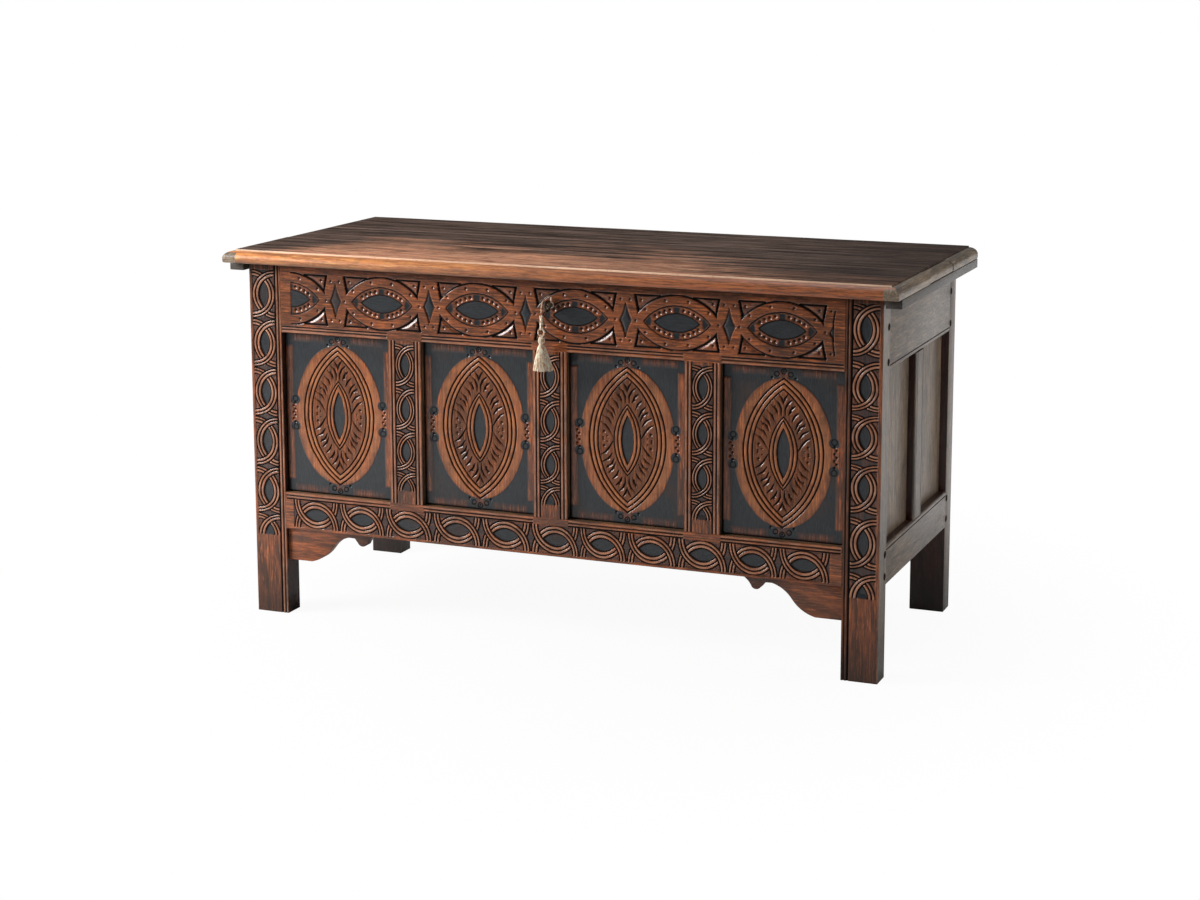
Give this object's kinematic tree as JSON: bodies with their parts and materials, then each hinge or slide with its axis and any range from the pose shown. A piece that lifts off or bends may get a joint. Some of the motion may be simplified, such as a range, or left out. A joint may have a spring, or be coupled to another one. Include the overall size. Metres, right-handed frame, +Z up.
{
  "type": "joined oak coffer chest",
  "caption": "Framed and panelled oak storage chest with a hinged plank lid, stile legs, carved front, a lock with its key, and a tassel on the key.",
  "frame": {"origin": "on the floor, under the middle of the lid's outline", "axes": "+X along the chest to its right as seen from the front, the carved front faces -Y, +Z up"},
  "size_m": [1.343, 0.614, 0.724],
  "materials": {
    "carved_oak": "satin",
    "plain_oak": "satin",
    "lid_oak": "gloss",
    "raw_oak": "matte",
    "dark_pegs": "satin",
    "wrought_iron": "matte",
    "key_metal": "satin",
    "tassel_thread": "matte"
  },
  "bodies": {
    "carcass": {"back_bottom_rail": "plain_oak", "back_muntin_left": "plain_oak", "back_muntin_right": "plain_oak", "back_panel_left": "plain_oak", "back_panel_middle": "plain_oak", "back_panel_right": "plain_oak", "back_stile_left": "plain_oak", "back_stile_right": "plain_oak", "back_top_rail": "plain_oak", "bottom_board_1": "raw_oak", "bottom_board_2": "raw_oak", "bottom_board_3": "raw_oak", "bottom_board_4": "raw_oak", "bracket_left": "carved_oak", "bracket_right": "carved_oak", "carcass_nails": "wrought_iron", "front_bottom_rail": "carved_oak", "front_muntin_left": "carved_oak", "front_muntin_middle": "carved_oak", "front_muntin_right": "carved_oak", "front_panel_1": "carved_oak", "front_panel_2": "carved_oak", "front_panel_3": "carved_oak", "front_panel_4": "carved_oak", "front_stile_left": "carved_oak", "front_stile_right": "carved_oak", "front_top_rail": "carved_oak", "hinge_leaf_left": "wrought_iron", "hinge_leaf_right": "wrought_iron", "hinge_pins": "wrought_iron", "joint_pegs": "dark_pegs", "lock_case": "wrought_iron", "lock_spring": "wrought_iron", "side_bottom_rail_left": "plain_oak", "side_bottom_rail_right": "plain_oak", "side_muntin_left": "plain_oak", "side_muntin_right": "plain_oak", "side_panel_left_back": "plain_oak", "side_panel_left_front": "plain_oak", "side_panel_right_back": "plain_oak", "side_panel_right_front": "plain_oak", "side_top_rail_left": "plain_oak", "side_top_rail_right": "plain_oak"},
    "lid": {"cleat_nails": "wrought_iron", "hinge_strap_left": "wrought_iron", "hinge_strap_right": "wrought_iron", "lid_board_back": "lid_oak", "lid_board_front": "lid_oak", "lid_board_middle": "lid_oak", "lid_cleat_left": "lid_oak", "lid_cleat_right": "lid_oak", "lid_staple": "wrought_iron", "strap_nails": "wrought_iron"},
    "key": {"key": "key_metal"},
    "bolt": {"lock_bolt": "wrought_iron"},
    "tassel": {"tassel_cord": "tassel_thread", "tassel_head": "tassel_thread", "tassel_hitch": "tassel_thread", "tassel_loop": "tassel_thread", "tassel_skirt": "tassel_thread"}
  },
  "joints": [
    {"name": "lid_hinge", "type": "hinge", "parent": "carcass", "child": "lid", "pos_m": [0, 0.274, 0.6935], "axis": [-1, 0, 0], "range_deg": [0, 110]},
    {"name": "key_turn", "type": "hinge", "parent": "carcass", "child": "key", "pos_m": [0.006, -0.2585, 0.651], "axis": [0, 1, 0], "range_deg": [0, 180]},
    {"name": "bolt_slide", "type": "slide", "parent": "carcass", "child": "bolt", "axis": [1, 0, 0], "range_m": [0, 0.012]},
    {"name": "tassel_hang", "type": "hinge", "parent": "key", "child": "tassel", "pos_m": [0.006, -0.2629, 0.651], "axis": [0, 1, 0], "range_deg": [-180, 0]}
  ],
  "couplings": [
    {"joint": "key_turn", "follows": "bolt_slide", "rad_per_m": 261.8},
    {"joint": "tassel_hang", "follows": "bolt_slide", "rad_per_m": -261.8}
  ]
}
